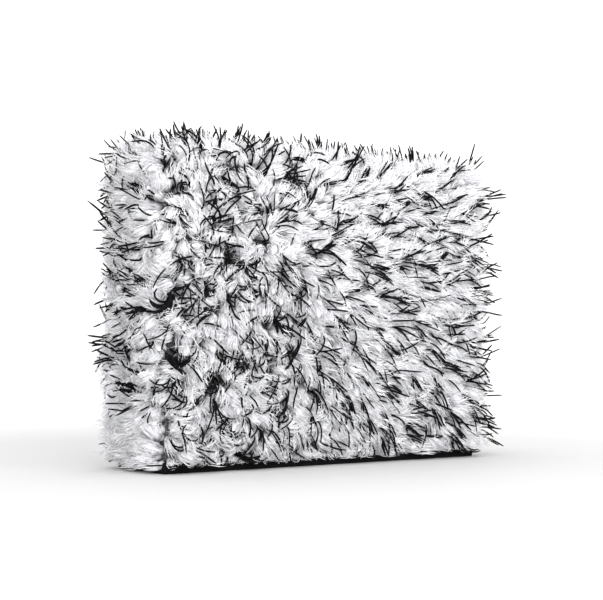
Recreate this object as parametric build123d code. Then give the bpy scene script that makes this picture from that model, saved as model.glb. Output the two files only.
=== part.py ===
from build123d import *
import os

# A padded wash mitt that stands on its open end. Its frame: X is the width, Y the thickness with
# the front towards -Y, Z up. The origin is the middle of the underside of the rim. Millimetres.

# The knit ground: the backing cloth that the pile is made on, sewn into a box with an open bottom.
GROUND_WIDTH = 214.0
GROUND_THICKNESS = 48.0
GROUND_HEIGHT = 168.0
TOP_CORNER_RADIUS = 14.0
KNIT_THICKNESS = 1.6

# The pile: the plush of soft tufts and cord ends outside the ground.
PILE_LENGTH = 17.0
PILE_EDGE_SHARE = 0.8
PILE_RIM_GAP = 1.0

# Padding and lining inside the ground.
FOAM_THICKNESS = 9.0
FOAM_EDGE_CUT = 1.4
LINING_THICKNESS = 0.8
POCKET_CORNER_RADIUS = 5.0

# The rim band: a strip folded over the raw edges of ground, foam and lining at the open end.
RIM_PLATE = 2.0
RIM_WALL = 1.6
RIM_HEIGHT = 6.0
RIM_LIP = 2.0

# The cuff: an elastic knit tube sewn inside the mouth and tucked up into the pocket.
CUFF_WALL = 1.6
CUFF_BASE_CORNER = 8.0
CUFF_BASE_HEIGHT = 4.0
CUFF_TAPER_HEIGHT = 40.0
HEM_WIDTH = 112.0
HEM_DEPTH = 18.0
HEM_CORNER = 7.0
HEM_WALL = 4.0
HEM_HEIGHT = 8.0
HEM_FABRIC = 1.2
HEM_GAP = 0.3
ELASTIC_CLEARANCE = 0.2
ELASTIC_SETBACK = 0.8

# Sewing thread.
THREAD_DIAMETER = 0.6
STITCH_LENGTH = 3.0
STITCH_PITCH = 5.0
STITCH_DEPTH = 0.4
STITCH_HEIGHT = 0.7
HEM_STITCH_RISE = 1.4

# Places that several pieces share.
HALF_THICKNESS = GROUND_THICKNESS / 2
FOAM_FACE = HALF_THICKNESS - KNIT_THICKNESS
LINING_FACE = FOAM_FACE - FOAM_THICKNESS
POCKET_FACE = LINING_FACE - LINING_THICKNESS
FOAM_INSET = KNIT_THICKNESS
LINING_INSET = FOAM_INSET + FOAM_THICKNESS
POCKET_INSET = LINING_INSET + LINING_THICKNESS
POCKET_WIDTH = GROUND_WIDTH - 2 * POCKET_INSET
POCKET_DEPTH = 2 * POCKET_FACE
MOUTH_WIDTH = POCKET_WIDTH - 2 * RIM_LIP
MOUTH_DEPTH = POCKET_DEPTH - 2 * RIM_LIP
PILE_BASE = RIM_HEIGHT + PILE_RIM_GAP
CUFF_TAPER_BASE = RIM_PLATE + CUFF_BASE_HEIGHT
CUFF_TOP = CUFF_TAPER_BASE + CUFF_TAPER_HEIGHT
HEM_BASE = CUFF_TOP + HEM_GAP
ARC_X = GROUND_WIDTH / 2 - TOP_CORNER_RADIUS
ARC_Z = GROUND_HEIGHT - TOP_CORNER_RADIUS


def corner_radius(inset):
    """The radius of the top corners: the ground's outside the padding, the pocket's inside it."""
    if inset < LINING_INSET:
        return TOP_CORNER_RADIUS - inset
    return POCKET_CORNER_RADIUS + POCKET_INSET - inset


def arched_slab(inset, front, back, base):
    """A slab with the mitt's outline moved in by inset: straight sides and rounded top corners."""
    width = GROUND_WIDTH - 2 * inset
    top = GROUND_HEIGHT - inset
    outline = Pos(0, base) * Rectangle(width, top - base, align=(Align.CENTER, Align.MIN))
    corners = outline.vertices().group_by(Axis.Y)[-1]
    outline = fillet(corners, corner_radius(inset))
    return extrude(Plane.XZ.offset(-back) * outline, back - front)


def arched_strip(outer, inner, half_depth, base):
    """A strip that runs up one side, over the top and down the other, between two insets."""
    outside = arched_slab(outer, -half_depth, half_depth, base)
    return outside - arched_slab(inner, -half_depth, half_depth, base)


def mitred_strip(strip, place):
    """The left, top or right length of an arched strip, cut at 45 degrees in the round corners."""
    reach = TOP_CORNER_RADIUS + 2 * PILE_LENGTH
    far = ARC_X + reach
    high = ARC_Z + reach
    if place == "top":
        points = [(-ARC_X, ARC_Z), (ARC_X, ARC_Z), (far, high), (-far, high)]
    else:
        side = -1 if place == "left" else 1
        points = [(side * ARC_X, 0), (side * ARC_X, ARC_Z), (side * far, high), (side * far, 0)]
    zone = Plane.XZ.offset(-GROUND_THICKNESS) * make_face(Polyline(*points, close=True))
    return strip & extrude(zone, 2 * GROUND_THICKNESS)


def facing(side, near, far):
    """The lower and upper Y of a layer between two distances, on the front (-1) or back (+1)."""
    return sorted((side * near, side * far))


def oblong(width, depth, corner, height):
    """A rounded oblong outline, level, at a height."""
    return Pos(0, 0, height) * RectangleRounded(width, depth, corner)


def ground_panel(side):
    low, high = facing(side, FOAM_FACE, HALF_THICKNESS)
    return arched_slab(0, low, high, RIM_PLATE)


def gusset_panel():
    return arched_strip(0, KNIT_THICKNESS, FOAM_FACE, RIM_PLATE)


def face_pile(side):
    """The plush on a broad face. It also reaches past the sides, to the tips of their pile."""
    low, high = facing(side, HALF_THICKNESS, HALF_THICKNESS + PILE_LENGTH)
    pile = arched_slab(-PILE_LENGTH, low, high, PILE_BASE)
    tips = pile.faces().sort_by(Axis.Y)[0 if side < 0 else -1]
    return fillet(tips.edges(), PILE_EDGE_SHARE * PILE_LENGTH)


def gusset_pile(place):
    strip = arched_strip(-PILE_LENGTH, 0, HALF_THICKNESS, PILE_BASE)
    return mitred_strip(strip, place)


def face_foam(side):
    """A foam pad behind a broad face, with its outer edge cut away to clear the sewn seam."""
    low, high = facing(side, LINING_FACE, FOAM_FACE)
    foam = arched_slab(FOAM_INSET, low, high, RIM_PLATE)
    outside = foam.faces().sort_by(Axis.Y)[0 if side < 0 else -1]
    seam_edges = outside.edges().filter_by(lambda edge: edge.center().Z > RIM_HEIGHT)
    return chamfer(seam_edges, FOAM_EDGE_CUT)


def gusset_foam(place):
    strip = arched_strip(FOAM_INSET, LINING_INSET, LINING_FACE, RIM_PLATE)
    return mitred_strip(strip, place)


def face_lining(side):
    low, high = facing(side, POCKET_FACE, LINING_FACE)
    return arched_slab(LINING_INSET, low, high, RIM_PLATE)


def gusset_lining():
    return arched_strip(LINING_INSET, POCKET_INSET, POCKET_FACE, RIM_PLATE)


def rim_band():
    """A plate under the edges of all layers, with a low wall up the outside of the ground."""
    width = GROUND_WIDTH + 2 * RIM_WALL
    depth = GROUND_THICKNESS + 2 * RIM_WALL
    band = extrude(oblong(width, depth, RIM_WALL, 0), RIM_HEIGHT)
    seat = Pos(0, 0, RIM_PLATE) * Rectangle(GROUND_WIDTH, GROUND_THICKNESS)
    mouth = oblong(MOUTH_WIDTH, MOUTH_DEPTH, CUFF_BASE_CORNER, 0)
    return band - extrude(seat, RIM_HEIGHT) - extrude(mouth, RIM_HEIGHT)


def stitch_ring(width, depth, corner, height, side):
    """Stitches along the straight sides of an oblong: outside its face (+1) or inside it (-1)."""
    stitches = []
    for length, across, turn in ((width, depth, 0), (depth, width, 90)):
        reach = across / 2 + side * STITCH_DEPTH / 2
        count = int((length - 2 * corner) // STITCH_PITCH)
        for step in range(count):
            along = (step - (count - 1) / 2) * STITCH_PITCH
            for face in (-1, 1):
                place = Rot(0, 0, turn) * Pos(along, face * reach, height)
                stitches.append(place * Box(STITCH_LENGTH, STITCH_DEPTH, STITCH_HEIGHT))
    return Compound(children=stitches)


def rim_stitching():
    width = GROUND_WIDTH + 2 * RIM_WALL
    depth = GROUND_THICKNESS + 2 * RIM_WALL
    height = (RIM_PLATE + RIM_HEIGHT) / 2
    return stitch_ring(width, depth, RIM_WALL, height, 1)


def cuff_knit():
    """An upright base sewn to the rim, and a taper that narrows from the mouth to the hem."""
    narrow = 2 * CUFF_WALL
    outer_corner = CUFF_BASE_CORNER + CUFF_WALL
    base_size = (MOUTH_WIDTH + narrow, MOUTH_DEPTH + narrow, outer_corner)
    base = extrude(oblong(*base_size, RIM_PLATE), CUFF_BASE_HEIGHT)
    top = oblong(HEM_WIDTH, HEM_DEPTH, HEM_CORNER, CUFF_TOP)
    taper = loft([oblong(*base_size, CUFF_TAPER_BASE), top])
    hollow_size = (MOUTH_WIDTH, MOUTH_DEPTH, CUFF_BASE_CORNER)
    hollow_base = extrude(oblong(*hollow_size, RIM_PLATE), CUFF_BASE_HEIGHT)
    hollow_corner = HEM_CORNER - CUFF_WALL
    hollow_top = oblong(HEM_WIDTH - narrow, HEM_DEPTH - narrow, hollow_corner, CUFF_TOP)
    hollow = loft([oblong(*hollow_size, CUFF_TAPER_BASE), hollow_top])
    return (base + taper) - (hollow_base + hollow)


def cuff_stitching():
    height = RIM_PLATE + CUFF_BASE_HEIGHT / 2
    return stitch_ring(MOUTH_WIDTH, MOUTH_DEPTH, CUFF_BASE_CORNER, height, -1)


def hem_ring(inset_out, inset_in, low, high):
    """An upright ring between two insets from the hem's outside."""
    outer = oblong(HEM_WIDTH - 2 * inset_out, HEM_DEPTH - 2 * inset_out, HEM_CORNER - inset_out, low)
    inner = oblong(HEM_WIDTH - 2 * inset_in, HEM_DEPTH - 2 * inset_in, HEM_CORNER - inset_in, low)
    return extrude(outer, high - low) - extrude(inner, high - low)


def cuff_hem():
    """The folded edge of the cuff, closed at the top, with a channel for the elastic."""
    top = HEM_BASE + HEM_HEIGHT
    ring = hem_ring(0, HEM_WALL, HEM_BASE, top)
    return ring - hem_ring(HEM_FABRIC, HEM_WALL - HEM_FABRIC, HEM_BASE, top - HEM_FABRIC)


def cuff_elastic():
    inset_out = HEM_FABRIC + ELASTIC_CLEARANCE
    inset_in = HEM_WALL - HEM_FABRIC - ELASTIC_CLEARANCE
    return hem_ring(inset_out, inset_in, HEM_BASE + ELASTIC_SETBACK, HEM_BASE + HEM_HEIGHT - HEM_FABRIC)


def hem_stitching():
    inner_width = HEM_WIDTH - 2 * HEM_WALL
    inner_depth = HEM_DEPTH - 2 * HEM_WALL
    height = HEM_BASE + HEM_STITCH_RISE
    return stitch_ring(inner_width, inner_depth, HEM_CORNER - HEM_WALL, height, -1)


def seam_thread(side):
    """The thread that joins a broad panel to the gusset, laid in the cut edge of the foam."""
    radius = THREAD_DIAMETER / 2
    inset = KNIT_THICKNESS + radius
    reach = GROUND_WIDTH / 2 - inset
    top = GROUND_HEIGHT - inset
    foot = RIM_PLATE + radius
    y = side * (FOAM_FACE - radius)
    points = [(-reach, y, foot), (-reach, y, top), (reach, y, top), (reach, y, foot)]
    path = FilletPolyline(*points, radius=corner_radius(inset))
    section = Plane(origin=points[0], z_dir=(0, 0, 1)) * Circle(radius)
    return sweep(section, path=path)


def build_nodes():
    """Every piece of the mitt by name."""
    nodes = {}
    for name, side in (("front", -1), ("back", 1)):
        nodes[name + "_panel"] = ground_panel(side)
        nodes[name + "_pile"] = face_pile(side)
        nodes[name + "_foam"] = face_foam(side)
        nodes[name + "_lining"] = face_lining(side)
        nodes[name + "_seam_thread"] = seam_thread(side)
    nodes["gusset_panel"] = gusset_panel()
    nodes["gusset_lining"] = gusset_lining()
    for name, place in (("left_side", "left"), ("top", "top"), ("right_side", "right")):
        nodes[name + "_pile"] = gusset_pile(place)
        nodes[name + "_foam"] = gusset_foam(place)
    nodes["rim_band"] = rim_band()
    nodes["rim_stitching"] = rim_stitching()
    nodes["cuff_knit"] = cuff_knit()
    nodes["cuff_stitching"] = cuff_stitching()
    nodes["cuff_hem"] = cuff_hem()
    nodes["cuff_elastic"] = cuff_elastic()
    nodes["hem_stitching"] = hem_stitching()
    return nodes


os.makedirs("parts", exist_ok=True)
for node, shape in build_nodes().items():
    export_step(shape, "parts/" + node + ".step")
    print(node, "volume", round(shape.volume / 1000, 2), "cm3")
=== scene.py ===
import math

import bpy
import numpy as np
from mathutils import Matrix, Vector


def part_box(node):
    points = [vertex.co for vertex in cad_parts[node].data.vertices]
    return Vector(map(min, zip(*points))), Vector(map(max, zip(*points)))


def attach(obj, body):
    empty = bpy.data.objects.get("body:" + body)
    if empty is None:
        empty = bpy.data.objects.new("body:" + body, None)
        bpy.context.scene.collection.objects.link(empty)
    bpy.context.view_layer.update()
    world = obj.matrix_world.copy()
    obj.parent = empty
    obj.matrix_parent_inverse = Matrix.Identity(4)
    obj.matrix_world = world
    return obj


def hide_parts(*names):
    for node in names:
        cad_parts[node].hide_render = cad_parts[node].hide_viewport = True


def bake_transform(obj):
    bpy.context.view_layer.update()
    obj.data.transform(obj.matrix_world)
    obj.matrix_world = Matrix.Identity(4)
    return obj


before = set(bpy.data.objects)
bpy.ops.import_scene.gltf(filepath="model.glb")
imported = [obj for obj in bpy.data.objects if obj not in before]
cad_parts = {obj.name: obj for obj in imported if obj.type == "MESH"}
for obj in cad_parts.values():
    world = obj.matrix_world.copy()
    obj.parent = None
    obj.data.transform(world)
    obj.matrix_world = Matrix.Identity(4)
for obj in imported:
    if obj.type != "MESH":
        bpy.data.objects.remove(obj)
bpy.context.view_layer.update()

# A padded wash mitt that stands on its open end. Lengths are worked out in millimetres, in the
# frame's own axes, and turned into metres when a mesh is made. Angles are in radians.
MM = 0.001


def box_mm(node):
    """The lowest and highest corner of a CAD node, in millimetres."""
    low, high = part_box(node)
    return np.array(low) / MM, np.array(high) / MM


# ---------------------------------------------------------------- sizes

PANEL_LOW, PANEL_HIGH = box_mm("front_panel")
FOAM_LOW, FOAM_HIGH = box_mm("front_foam")
LINING_LOW, LINING_HIGH = box_mm("front_lining")
BAND_HIGH = box_mm("rim_band")[1]
KNIT_LOW, KNIT_HIGH = box_mm("cuff_knit")
HEM_LOW, HEM_HIGH = box_mm("cuff_hem")
ELASTIC_LOW, ELASTIC_HIGH = box_mm("cuff_elastic")

HALF_WIDTH = PANEL_HIGH[0]
HALF_THICKNESS = -PANEL_LOW[1]
GROUND_TOP = PANEL_HIGH[2]
BAND_TOP = BAND_HIGH[2]
PLATE_TOP = PANEL_LOW[2]
PILE_FOOT = BAND_TOP - 1.0
TOP_CORNER = 14.0
POCKET_CORNER = 5.0

KNIT_CLOTH = PANEL_HIGH[1] - PANEL_LOW[1]
FOAM_PAD = FOAM_HIGH[1] - FOAM_LOW[1]
LINING_CLOTH = LINING_HIGH[1] - LINING_LOW[1]
FOAM_INSET = HALF_WIDTH - FOAM_HIGH[0]
LINING_INSET = HALF_WIDTH - LINING_HIGH[0]

# the rim band and the cuff
BAND_SIZE = (BAND_HIGH[0] * 2, BAND_HIGH[1] * 2)
BAND_CORNER = 1.6
CUFF_WALL = 1.6
CUFF_CORNER = 9.6
CUFF_BASE_TOP = 6.0
MOUTH_SIZE = (KNIT_HIGH[0] * 2 - 2 * CUFF_WALL, KNIT_HIGH[1] * 2 - 2 * CUFF_WALL)
MOUTH_CORNER = CUFF_CORNER - CUFF_WALL
HEM_SIZE = (HEM_HIGH[0] * 2, HEM_HIGH[1] * 2)
HEM_CORNER = 7.0
HEM_WALL = 4.0
HEM_FABRIC = 1.0
HEM_CUT = 20.0
HEM_RIB_HEIGHT = 0.3
ELASTIC_WALL = 1.2
ELASTIC_CORDS = 5
RIB_PITCH = 2.6
RIB_HEIGHT = 0.42
KNIT_SAG = 0.5
KNIT_FULLNESS = 1.35
KNIT_LEVELS = 27

# thread
STITCH_LENGTH = 3.2
STITCH_RADIUS = 0.34
STITCH_PITCH = 5.0
TWIST_PITCH = 2.4

# how the pile stands: how far in from an edge it starts to splay, the share of that at the upright
# edges, how much longer it grows in the top corners, the crown that it is brushed away from, and how
# wide the patches are that are brushed one way
EDGE_ROUND = 7.0
SIDE_SPLAY = 0.35
CORNER_BOOST = 0.35
CROWN = (-40.0, 125.0)
CROWN_REACH = 50.0
COMB_SCALE = 60.0
SWIRL_SCALE = 24.0

# the pile is loose on the left of the front and combed on its right, between these two places in X
LOOSE_X = -90.0
COMBED_X = 30.0
BACK_LOOSENESS = 0.4

# white tufts, with how far their tips fall over, and less on the gusset
TUFT_SPACING = 6.2
GUSSET_TUFT_SPACING = 5.7
TUFT_JITTER = 0.27
TUFT_LENGTH = 12.0
TUFT_FALL = (0.9, 1.8)
GUSSET_FALL = 0.75
CORE_RADIUS = 2.6
CORE_STEPS = 8
FIBRES_PER_TUFT = 52
FIBRE_FROM = 2
FIBRE_WIDTH = 0.5
STRAY_SHARE = 0.75
WISPS_PER_TUFT = 4
WISP_WIDTH = 0.32
WISP_LENGTH = (5.0, 11.0)
WISP_STEPS = 8

# black cord ends: bundles of them, and thickets of short ones in the hollows of the loose pile
STRANDS_PER_BUNDLE = 2.1
BUNDLE_RADIUS = 2.2
STRAND_WIDTH = 1.08
STRAND_STEPS = 10
STRAND_JITTER = 0.36
BLUNT_TIP = 0.35
BARE_FOOT = 36.0
HOLLOW_SHARE = 0.045
HOLLOW_RADIUS = 4.6
HOLLOW_STRANDS = 6

# ---------------------------------------------------------------- small maths


def unit(v):
    """Vectors at length one."""
    return v / np.maximum(np.linalg.norm(v, axis=-1, keepdims=True), 1e-9)


def ease(x):
    """A smooth step from 0 to 1."""
    x = np.clip(x, 0, 1)
    return x * x * (3 - 2 * x)


def waves(a, b, seed, scale):
    """Smooth noise over two coordinates, from about -1 to 1: a sum of a few sine waves."""
    rng = np.random.default_rng(seed)
    total = np.zeros(np.shape(a))
    for octave in range(3):
        for _ in range(4):
            angle, phase = rng.uniform(0, 2 * math.pi, 2)
            step = 2 * math.pi / scale * (1.7 ** octave) * rng.uniform(0.7, 1.3)
            total += np.sin((a * math.cos(angle) + b * math.sin(angle)) * step + phase) / (1.5 ** octave)
    return total / 4.2


class Arch:
    """An outline in X and Z with straight sides and round top corners, open at the foot."""

    def __init__(self, inset, corner, foot):
        self.half_width = HALF_WIDTH - inset
        self.top = GROUND_TOP - inset
        self.corner = corner
        self.foot = foot
        self.arc_x = self.half_width - corner
        self.arc_z = self.top - corner
        self.side_run = self.arc_z - foot
        self.corner_run = corner * math.pi / 2
        self.run = 2 * (self.side_run + self.corner_run + self.arc_x)

    def half_width_at(self, z):
        over = np.clip(z - self.arc_z, 0, self.corner)
        return self.arc_x + np.sqrt(self.corner**2 - over**2)

    def place(self, s):
        """X, Z and outward direction at a distance s along the outline, from its lower left end."""
        right = s > self.run / 2
        t = np.where(right, self.run - s, s)
        angle = np.clip((t - self.side_run) / self.corner, 0, math.pi / 2)
        nx, nz = -np.cos(angle), np.sin(angle)
        x = -self.arc_x + self.corner * nx + np.maximum(t - self.side_run - self.corner_run, 0)
        z = self.foot + np.minimum(t, self.side_run) + self.corner * nz
        flip = np.where(right, -1, 1)
        return x * flip, z, nx * flip, nz


GROUND_ARCH = Arch(0, TOP_CORNER, PILE_FOOT)
ARC_X = GROUND_ARCH.arc_x
ARC_Z = GROUND_ARCH.arc_z


# ---------------------------------------------------------------- the ground that the pile grows on


def corner_share(points):
    """How near points are to the middle of a round top corner, from 0 to 1."""
    out = np.maximum(np.abs(points[:, 0]) - ARC_X, 0)
    up = np.maximum(points[:, 2] - ARC_Z, 0)
    return np.sin(2 * np.arctan2(up, out)) * np.hypot(out, up) / TOP_CORNER


def standing(points, normals):
    """The way pile stands on the ground: straight out, splayed at the top edges, less at the upright ones."""
    x, y, z = points.T
    in_corner = (np.abs(x) > ARC_X) & (z > ARC_Z)
    core_x = np.clip(x, -(HALF_WIDTH - EDGE_ROUND), HALF_WIDTH - EDGE_ROUND)
    core_z = np.clip(z, PILE_FOOT + EDGE_ROUND, GROUND_TOP - EDGE_ROUND)
    from_x = x - np.sign(x) * ARC_X
    from_z = z - ARC_Z
    spread = np.hypot(from_x, from_z)
    pull = np.minimum(spread, TOP_CORNER - EDGE_ROUND) / np.maximum(spread, 1e-6)
    core_x = np.where(in_corner, np.sign(x) * ARC_X + from_x * pull, core_x)
    core_z = np.where(in_corner, ARC_Z + from_z * pull, core_z)
    core_y = np.clip(y, -(HALF_THICKNESS - EDGE_ROUND), HALF_THICKNESS - EDGE_ROUND)
    offset = points - np.stack([core_x, core_y, core_z], 1)
    outward = (offset * normals).sum(1, keepdims=True) * normals
    splay = offset - outward
    near_top = ease((z - ARC_Z + TOP_CORNER) / TOP_CORNER / 2)
    splay[:, :2] *= (SIDE_SPLAY + (1 - SIDE_SPLAY) * near_top)[:, None]
    return unit(outward + splay)


def scattered(width, length, spacing, jitter, rng):
    """Points over a rectangle, in staggered rows, each moved by up to a share of the spacing."""
    rows = max(1, round(length / (spacing * 0.87)))
    columns = max(1, round(width / spacing))
    u, v = np.meshgrid(np.arange(columns) + 0.5, np.arange(rows) + 0.5)
    u = u + np.where(np.arange(rows) % 2, 0.25, -0.25)[:, None]
    u = (u.ravel() + rng.uniform(-jitter, jitter, u.size)) * width / columns
    v = (v.ravel() + rng.uniform(-jitter, jitter, v.size)) * length / rows
    return u, v


class Ground:
    """Points on one panel of the ground, with the panel's normal and two directions along it."""

    def __init__(self, points, normals, across, along):
        self.points = points
        self.normals = normals
        self.across = across
        self.along = along
        self.lean = standing(points, normals)
        self.reach = 1 + CORNER_BOOST * corner_share(points)

    def pick(self, chosen):
        return Ground(self.points[chosen], self.normals[chosen], self.across[chosen], self.along[chosen])


def broad_face(side, spacing, jitter, rng):
    """Points over the front (-1) or back (+1) panel."""
    x, z = scattered(2 * HALF_WIDTH, GROUND_TOP - PILE_FOOT, spacing, jitter, rng)
    x, z = x - HALF_WIDTH, z + PILE_FOOT
    in_corner = (np.abs(x) > ARC_X) & (z > ARC_Z)
    kept = ~in_corner | (np.hypot(np.abs(x) - ARC_X, z - ARC_Z) < TOP_CORNER)
    x, z = x[kept], z[kept]
    ones, zeros = np.ones(len(x)), np.zeros(len(x))
    return Ground(
        np.stack([x, side * HALF_THICKNESS * ones, z], 1),
        np.stack([zeros, side * ones, zeros], 1),
        np.stack([ones, zeros, zeros], 1),
        np.stack([zeros, zeros, ones], 1),
    )


def gusset_strip(start, end, spacing, jitter, rng):
    """Points over the gusset between two distances along it."""
    s, y = scattered(end - start, 2 * HALF_THICKNESS, spacing, jitter, rng)
    s, y = s + start, y - HALF_THICKNESS
    x, z, nx, nz = GROUND_ARCH.place(s)
    zeros, ones = np.zeros(len(s)), np.ones(len(s))
    return Ground(
        np.stack([x, y, z], 1),
        np.stack([nx, zeros, nz], 1),
        np.stack([zeros, ones, zeros], 1),
        np.stack([nz, zeros, -nx], 1),
    )


# ---------------------------------------------------------------- strands and fibres as meshes


def grown_lines(roots, lean, comb, length, tilts, bend, curl, wobble, segments, rng):
    """Centre lines that leave the ground near lean and bend over towards comb.

    tilts are the angles from lean at the root and at the tip, and bend is the stretch over which they
    change. Each line comes with a side vector and a heading at every point.
    """
    comb = unit(comb - (comb * lean).sum(1, keepdims=True) * lean)
    aside = np.cross(lean, comb)
    t = (np.arange(segments + 1) / segments)[None, :]
    bent = ease((t - bend[0]) / (bend[1] - bend[0]))
    tilt = tilts[0][:, None] + (tilts[1] - tilts[0])[:, None] * bent
    turn = curl[:, None] * t**1.4
    shape = (len(roots), segments + 1)
    tilt = tilt + wobble * np.cumsum(rng.normal(0, 0.5, shape), 1)
    turn = turn + wobble * np.cumsum(rng.normal(0, 0.7, shape), 1)
    level = np.cos(turn)[..., None] * comb[:, None] + np.sin(turn)[..., None] * aside[:, None]
    side = -np.sin(turn)[..., None] * comb[:, None] + np.cos(turn)[..., None] * aside[:, None]
    heading = np.cos(tilt)[..., None] * lean[:, None] + np.sin(tilt)[..., None] * level
    step = (length / segments)[:, None, None]
    middle = (heading[:, :-1] + heading[:, 1:]) / 2
    line = np.concatenate([roots[:, None], roots[:, None] + np.cumsum(middle * step, 1)], 1)
    return line, side, heading


def keep_above(line, lowest, soft=1.5):
    """Bends centre lines so that no point goes below a height, one for each line, with a soft landing."""
    room = line[..., 2] - lowest[:, None]
    landing = soft * np.exp(np.minimum(room / soft - 1, 0))
    line[..., 2] = lowest[:, None] + np.where(room > soft, room, landing)


def tubes(line, side, heading, radius, sides):
    """Closed tapered tubes along centre lines: their points, the points in one, and its faces.

    The faces come by size, each size with the u and v of its corners: u runs round the tube, v along it.
    """
    count, rings = line.shape[0], line.shape[1] - 1
    other = np.cross(heading, side)
    angle = np.arange(sides) * 2 * math.pi / sides
    ring = (
        np.cos(angle)[None, None, :, None] * side[:, :rings, None]
        + np.sin(angle)[None, None, :, None] * other[:, :rings, None]
    )
    skin = line[:, :rings, None] + ring * radius[:, :rings, None, None]
    vertices = np.concatenate([skin.reshape(count, -1, 3), line[:, -1:]], 1)
    points_in_one = rings * sides + 1

    i, k = np.meshgrid(np.arange(rings - 1), np.arange(sides), indexing="ij")
    i, k = i.ravel(), k.ravel()
    after = (k + 1) % sides
    quads = np.stack([i * sides + k, i * sides + after, (i + 1) * sides + after, (i + 1) * sides + k], 1)
    quad_u = np.stack([k, k + 1, k + 1, k], 1) / sides
    quad_v = np.stack([i, i, i + 1, i + 1], 1) / rings

    k = np.arange(sides)
    last = (rings - 1) * sides
    tips = np.stack([last + k, last + (k + 1) % sides, np.full(sides, points_in_one - 1)], 1)
    tip_u = np.stack([k, k + 1, k + 0.5], 1) / sides
    tip_v = np.tile([(rings - 1) / rings] * 2 + [1.0], (sides, 1))
    cap = k[::-1][None]
    faces = (
        (quads, np.stack([quad_u, quad_v], -1)),
        (tips, np.stack([tip_u, tip_v], -1)),
        (cap, np.stack([cap / sides, np.zeros(cap.shape)], -1)),
    )
    return vertices, points_in_one, faces


class Skein:
    """Collects tubes and makes one mesh object of them."""

    def __init__(self):
        self.vertices = []
        self.faces = []
        self.corners = []
        self.total = 0

    def add(self, tube_set, u_start, u_width, height=1.0):
        """Adds tubes. Each one's u runs over a narrow band from u_start, and its v from 0 to height."""
        vertices, points_in_one, groups = tube_set
        count = len(vertices)
        base = self.total + points_in_one * np.arange(count)
        self.vertices.append(vertices.reshape(-1, 3))
        self.total += points_in_one * count
        for faces, uv in groups:
            self.faces.append((base[:, None, None] + faces[None]).reshape(-1, faces.shape[1]))
            u = u_start[:, None, None] + uv[None, ..., 0] * u_width
            v = np.broadcast_to(uv[None, ..., 1] * height, u.shape)
            self.corners.append(np.stack([u, v], -1).reshape(-1, 2))

    def make(self, name, material):
        uv = np.concatenate(self.corners)
        return make_piece(name, np.concatenate(self.vertices), self.faces, material, uv)


def make_piece(name, vertices, faces, material, uv=None):
    """A mesh object from points in millimetres and arrays of faces, each array with one face size."""
    loops = np.concatenate([f.ravel() for f in faces])
    sizes = np.concatenate([np.full(len(f), f.shape[1]) for f in faces])
    mesh = bpy.data.meshes.new(name)
    mesh.vertices.add(len(vertices))
    mesh.vertices.foreach_set("co", (vertices * MM).astype(np.float32).ravel())
    mesh.loops.add(len(loops))
    mesh.loops.foreach_set("vertex_index", loops.astype(np.int32))
    mesh.polygons.add(len(sizes))
    mesh.polygons.foreach_set("loop_start", (np.cumsum(sizes) - sizes).astype(np.int32))
    mesh.polygons.foreach_set("use_smooth", np.ones(len(sizes), bool))
    if uv is not None:
        layer = mesh.uv_layers.new(name="OFBake")
        layer.uv.foreach_set("vector", uv.astype(np.float32).ravel())
    mesh.update(calc_edges=True)
    mesh.validate()
    mesh.materials.append(material)
    piece = bpy.data.objects.new(name, mesh)
    bpy.context.scene.collection.objects.link(piece)
    return piece


def belongs(piece, body, node):
    """Hides the CAD node that a piece stands for, and rides the piece on a body if it has one."""
    if body:
        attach(piece, body)
    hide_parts(node)


# ---------------------------------------------------------------- materials

# a colour mix node's sockets: its two colours, and the result
MIX_A, MIX_B, MIXED = 6, 7, 2


def set_inputs(node, **inputs):
    """Sets a node's inputs by name, with _ for each space in the name."""
    for name, value in inputs.items():
        node.inputs[name.replace("_", " ")].default_value = value


def add_node(tree, kind, settings=None, **inputs):
    """A new node of this kind, with its settings and the values of its inputs."""
    node = tree.nodes.new(f"ShaderNode{kind}")
    for name, value in (settings or {}).items():
        setattr(node, name, value)
    set_inputs(node, **inputs)
    return node


def add_ramp(tree, *stops):
    """A colour ramp between two stops, each a place from 0 to 1 and a colour."""
    ramp = add_node(tree, "ValToRGB")
    for element, (position, colour) in zip(ramp.color_ramp.elements, stops):
        element.position = position
        element.color = colour
    return ramp


def new_group(name, inputs, outputs):
    """An empty shader group with named sockets, and the nodes that hold its inputs and outputs."""
    group = bpy.data.node_groups.new(name, "ShaderNodeTree")
    for way, sockets in (("INPUT", inputs), ("OUTPUT", outputs)):
        for socket, kind in sockets.items():
            group.interface.new_socket(socket, in_out=way, socket_type=f"NodeSocket{kind}")
    return group, group.nodes.new("NodeGroupInput"), group.nodes.new("NodeGroupOutput")


def new_material(name):
    """A new material, its node tree and its Principled shader."""
    material = bpy.data.materials.new(name)
    material.use_nodes = True
    tree = material.node_tree
    return material, tree, tree.nodes["Principled BSDF"]


def grey(value, blue=0.0):
    """A grey, or one that is bluer by a share of its value."""
    return (value, value, value * (1 + blue), 1.0)


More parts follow.
